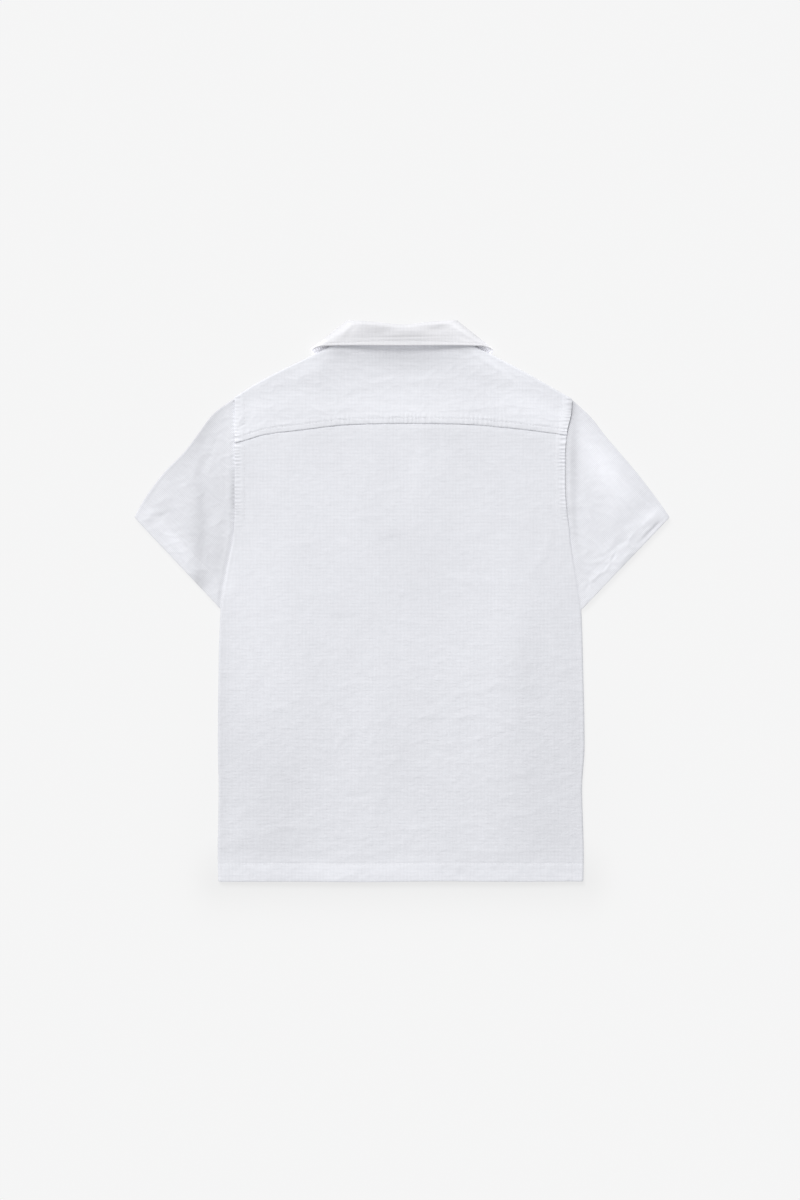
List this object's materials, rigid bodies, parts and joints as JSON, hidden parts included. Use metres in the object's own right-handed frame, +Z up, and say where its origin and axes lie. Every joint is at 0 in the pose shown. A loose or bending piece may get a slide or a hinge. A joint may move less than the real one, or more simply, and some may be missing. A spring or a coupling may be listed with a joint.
{
  "type": "short-sleeve linen shirt",
  "caption": "Short-sleeve linen shirt with a turned-down collar and a back yoke, laid flat and face down.",
  "frame": {"origin": "middle of the laid garment, on the surface it lies on", "axes": "+X towards the wearer's right, +Y towards the collar, +Z up from the surface"},
  "size_m": [0.5352, 0.561, 0.0156],
  "materials": {
    "linen_body": "white washed linen in plain weave, with slubs and soft creases",
    "linen_collar": "white washed linen, two layers pressed and topstitched",
    "button": "pale shell-like button with four holes"
  },
  "bodies": {
    "root": {"back_panel": "linen_body", "back_yoke": "linen_body", "left_front": "linen_body", "right_front": "linen_body", "left_sleeve": "linen_body", "right_sleeve": "linen_body", "upper_collar": "linen_collar", "under_collar": "linen_collar", "button_1": "button", "button_2": "button", "button_3": "button", "button_4": "button", "button_5": "button"}
  },
  "joints": []
}
